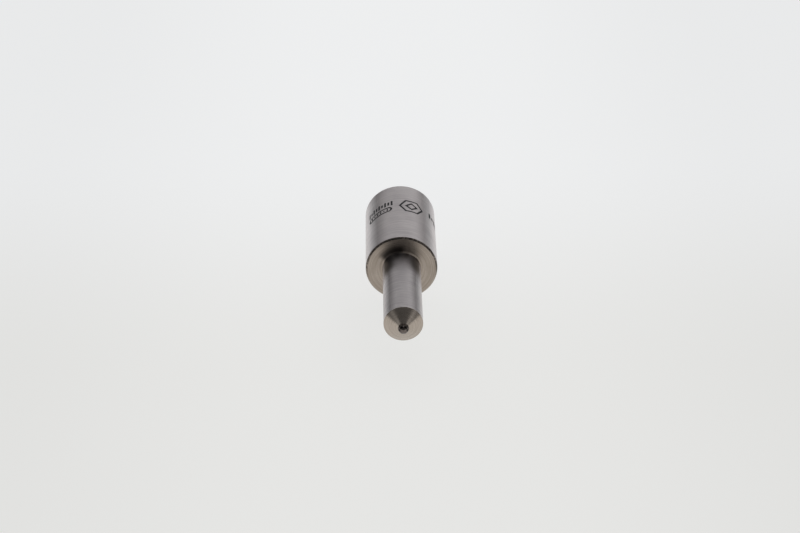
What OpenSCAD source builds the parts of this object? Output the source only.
// Hole-type diesel injector nozzle: a stepped steel body and its lapped needle valve.
// The pair lies on the collar. Origin: centre of the lapped sealing face.
// +Y leaves the sealing face, -Y points to the spray tip, +Z is up. Millimetres.

/* [Collar] */
// Outside diameter of the collar
collar_d = 17; // [16.4:0.1:22]
// Length of the collar, from the sealing face to the shoulder
collar_len = 25.8; // [23:0.1:34]
// Chamfer around the sealing face
collar_rear_chamfer = 0.4; // [0.1:0.05:0.7]
// Chamfer around the shoulder
collar_front_chamfer = 0.4; // [0.1:0.05:1]

/* [Shaft] */
// Outside diameter of the shaft
shaft_d = 9; // [8:0.1:12]
// Length of the cylindrical shaft
shaft_len = 24.3; // [18:0.1:40]
// Fillet where the shaft leaves the shoulder
root_fillet = 0.45; // [0.2:0.05:1]
// Full angle of the cone at the end of the shaft
end_cone_angle = 120; // [100:1:140]

/* [Dome] */
// Outside diameter of the dome that holds the spray holes
dome_d = 2.36; // [2.1:0.02:3]
// Straight stretch between the fillet and the dome's half sphere
dome_straight = 0.05; // [0.05:0.05:0.6]
// Fillet between the cone and the dome
dome_fillet = 0.2; // [0.1:0.05:0.4]
// Diameter of the sac, the small blind hole behind the spray holes
sac_d = 1; // [0.6:0.05:1.2]
// Length of the sac from the seat to the centre of the dome
sac_len = 0.55; // [0.4:0.05:0.9]

/* [Spray holes] */
// Number of spray holes
spray_count = 6; // [3:1:8]
// Diameter of a spray hole
spray_d = 0.3; // [0.15:0.01:0.35]
// Full angle of the cone on which the spray holes lie
spray_cone_angle = 110; // [90:1:150]

/* [Guide bore and chamber] */
// Diameter of the guide bore
guide_d = 6; // [5:0.1:6.2]
// Length of the guide bore, from the sealing face to the chamber
guide_len = 16; // [12:0.5:18]
// Chamfer at the mouth of the guide bore
bore_chamfer = 0.3; // [0.1:0.05:0.6]
// How far the fuel chamber is cut outside the guide bore
chamber_depth = 1.3; // [0.8:0.1:1.6]
// Straight stretch of the fuel chamber, between its two 45 degree ends
chamber_len = 2; // [1:0.1:3]
// Full angle of the valve seat
seat_angle = 60; // [56:1:64]

/* [Sealing face] */
// Land between the guide bore and the ring groove
groove_land = 1; // [0.7:0.1:1.2]
// Width of the ring groove that spreads the fuel
groove_w = 1.3; // [0.8:0.1:1.4]
// Depth of the ring groove
groove_depth = 0.6; // [0.3:0.1:1]
// Diameter of the feed drilling from the groove to the chamber
feed_d = 1.3; // [0.8:0.1:1.6]
// Diameter of a locating pin hole
dowel_d = 2; // [1.5:0.1:2.2]
// Depth of a locating pin hole, without its drill point
dowel_depth = 4.5; // [3:0.5:8]
// Distance from the outside of the collar to the centre of a locating pin hole
dowel_edge = 1.8; // [1.7:0.1:2.2]
// Angle of the locating pin holes above the horizontal
dowel_angle = 36.87; // [20:0.01:60]

/* [Needle] */
// Radial clearance between the needle and the guide bore
guide_clearance = 0.015; // [0.01:0.005:0.03]
// Needle lift: depth of the needle's shoulder below the sealing face
lift = 0.3; // [0.2:0.05:0.4]
// Diameter of the thrust pin
thrust_pin_d = 4; // [3:0.1:4.6]
// How far the thrust pin stands out of the sealing face
thrust_pin_proud = 3.2; // [2:0.1:5]
// How far the guide's lower edge reaches into the chamber
guide_overhang = 0.5; // [0.2:0.1:0.8]
// Diameter of the needle's stem
stem_d = 3.4; // [2.8:0.1:4]
// Radial gap around the stem
stem_gap = 0.45; // [0.3:0.05:0.6]
// Gap between the closed needle and its seat, square to the seat
seat_gap = 0.01; // [0.005:0.005:0.02]
// Diameter at which the seat cone gives way to the blunter point
point_d = 1.5; // [1.3:0.05:1.8]
// Full angle of the needle's point
point_angle = 100; // [80:1:120]
// Chamfer on the needle's edges
needle_chamfer = 0.2; // [0.1:0.05:0.4]

/* [Hidden] */
$fn = 96;

// Every place along the nozzle is a depth below the sealing face.
shaft_end = collar_len + shaft_len;
dome_base = shaft_end + (shaft_d - dome_d) / 2 / tan(end_cone_angle / 2);
dome_centre = dome_base + dome_fillet * tan(end_cone_angle / 4) + dome_straight;
tip_end = dome_centre + dome_d / 2;

chamber_d = guide_d + 2 * chamber_depth;
stem_bore_d = stem_d + 2 * stem_gap;
chamber_top_end = guide_len + chamber_depth;
chamber_low = chamber_top_end + chamber_len;
chamber_end = chamber_low + (chamber_d - stem_bore_d) / 2;

seat_end = dome_centre - sac_len;
seat_start = seat_end - (stem_bore_d - sac_d) / 2 / tan(seat_angle / 2);
seat_apex = seat_end + sac_d / 2 / tan(seat_angle / 2);

groove_r = guide_d / 2 + groove_land + groove_w / 2;
dowel_r = collar_d / 2 - dowel_edge;
drill_point = 118;

needle_guide_d = guide_d - 2 * guide_clearance;
needle_guide_end = guide_len + guide_overhang;
stem_start = needle_guide_end + (needle_guide_d - stem_d) / 2;
needle_apex = seat_apex - seat_gap / sin(seat_angle / 2);
stem_end = needle_apex - stem_d / 2 / tan(seat_angle / 2);
point_start = needle_apex - point_d / 2 / tan(seat_angle / 2);
point_flat_d = 0.2;
point_end = point_start + (point_d - point_flat_d) / 2 / tan(point_angle / 2);

// Cuts run this far past the face that they break.
over = 0.5;

// Turns an outline drawn as [radius, depth] into a solid along the nozzle's axis.
module turned() {
    rotate([90, 0, 0]) rotate_extrude() children();
}

// Corner between a straight wall and a shoulder square to it, to be filled by a fillet.
module square_fillet(radius, at_r, at_depth) {
    translate([at_r, at_depth]) difference() {
        square(radius);
        translate([radius, radius]) circle(radius);
    }
}

// Corner between the end cone and the dome's straight wall.
module dome_fillet_outline() {
    half = end_cone_angle / 2;
    wall_r = dome_d / 2;
    centre_r = wall_r + dome_fillet;
    drop = (centre_r - shaft_d / 2) * cos(half);
    centre_depth = shaft_end + (dome_fillet - drop) / sin(half);
    difference() {
        polygon([
            [wall_r, dome_base],
            [centre_r - dome_fillet * cos(half), centre_depth - dome_fillet * sin(half)],
            [centre_r, centre_depth],
            [wall_r, centre_depth]
        ]);
        translate([centre_r, centre_depth]) circle(dome_fillet);
    }
}

module body_outline() {
    collar_r = collar_d / 2;
    shaft_r = shaft_d / 2;
    dome_r = dome_d / 2;
    polygon([
        [0, 0],
        [collar_r - collar_rear_chamfer, 0],
        [collar_r, collar_rear_chamfer],
        [collar_r, collar_len - collar_front_chamfer],
        [collar_r - collar_front_chamfer, collar_len],
        [shaft_r, collar_len],
        [shaft_r, shaft_end],
        [dome_r, dome_base],
        [dome_r, dome_centre],
        [0, dome_centre]
    ]);
    square_fillet(root_fillet, shaft_r, collar_len);
    dome_fillet_outline();
    intersection() {
        translate([0, dome_centre]) circle(dome_r);
        translate([0, dome_centre - dome_straight]) square(dome_d);
    }
}

// Guide bore, fuel chamber, stem bore, seat and sac in one outline.
module bore_outline() {
    guide_r = guide_d / 2;
    polygon([
        [0, -over],
        [guide_r + bore_chamfer + over, -over],
        [guide_r, bore_chamfer],
        [guide_r, guide_len],
        [chamber_d / 2, chamber_top_end],
        [chamber_d / 2, chamber_low],
        [stem_bore_d / 2, chamber_end],
        [stem_bore_d / 2, seat_start],
        [sac_d / 2, seat_end],
        [sac_d / 2, dome_centre],
        [0, dome_centre]
    ]);
    intersection() {
        translate([0, dome_centre]) circle(sac_d / 2);
        translate([0, dome_centre - sac_len / 2]) square(dome_d);
    }
}

module ring_groove() {
    turned() translate([groove_r - groove_w / 2, -over]) square([groove_w, groove_depth + over]);
}

// Slanted drilling from the ring groove down into the fuel chamber, below the guide bore.
module feed_drilling() {
    reach = chamber_top_end + chamber_len / 2;
    entry_r = chamber_d / 2 - feed_d / 4;
    slant = atan((groove_r - entry_r) / reach);
    length = reach / cos(slant);
    translate([0, 0, -groove_r]) rotate([90 - slant, 0, 0])
        translate([0, 0, -over]) cylinder(h = length + over, d = feed_d);
}

// Blind hole with a drill point, for one pin of the holder's intermediate disc.
module dowel_hole(side) {
    translate([side * dowel_r * cos(dowel_angle), 0, dowel_r * sin(dowel_angle)]) turned()
        polygon([
            [0, -over],
            [dowel_d / 2, -over],
            [dowel_d / 2, dowel_depth],
            [0, dowel_depth + dowel_d / 2 / tan(drill_point / 2)]
        ]);
}

// Spray holes fan out evenly from the centre of the dome.
module spray_holes() {
    for (i = [0 : spray_count - 1])
        translate([0, -dome_centre, 0]) rotate([0, i * 360 / spray_count, 0])
            rotate([0, 0, -spray_cone_angle / 2]) rotate([90, 0, 0])
                cylinder(h = dome_d, d = spray_d, $fn = 32);
}

module nozzle_body() {
    color([0.60, 0.59, 0.58]) difference() {
        turned() body_outline();
        turned() bore_outline();
        ring_groove();
        feed_drilling();
        dowel_hole(1);
        dowel_hole(-1);
        spray_holes();
    }
}

module needle_outline() {
    pin_r = thrust_pin_d / 2;
    guide_r = needle_guide_d / 2;
    polygon([
        [0, -thrust_pin_proud],
        [pin_r - needle_chamfer, -thrust_pin_proud],
        [pin_r, needle_chamfer - thrust_pin_proud],
        [pin_r, lift],
        [guide_r - needle_chamfer, lift],
        [guide_r, lift + needle_chamfer],
        [guide_r, needle_guide_end],
        [stem_d / 2, stem_start],
        [stem_d / 2, stem_end],
        [point_d / 2, point_start],
        [point_flat_d / 2, point_end],
        [0, point_end]
    ]);
}

module needle() {
    color([0.70, 0.70, 0.70]) turned() needle_outline();
}

nozzle_body();
needle();
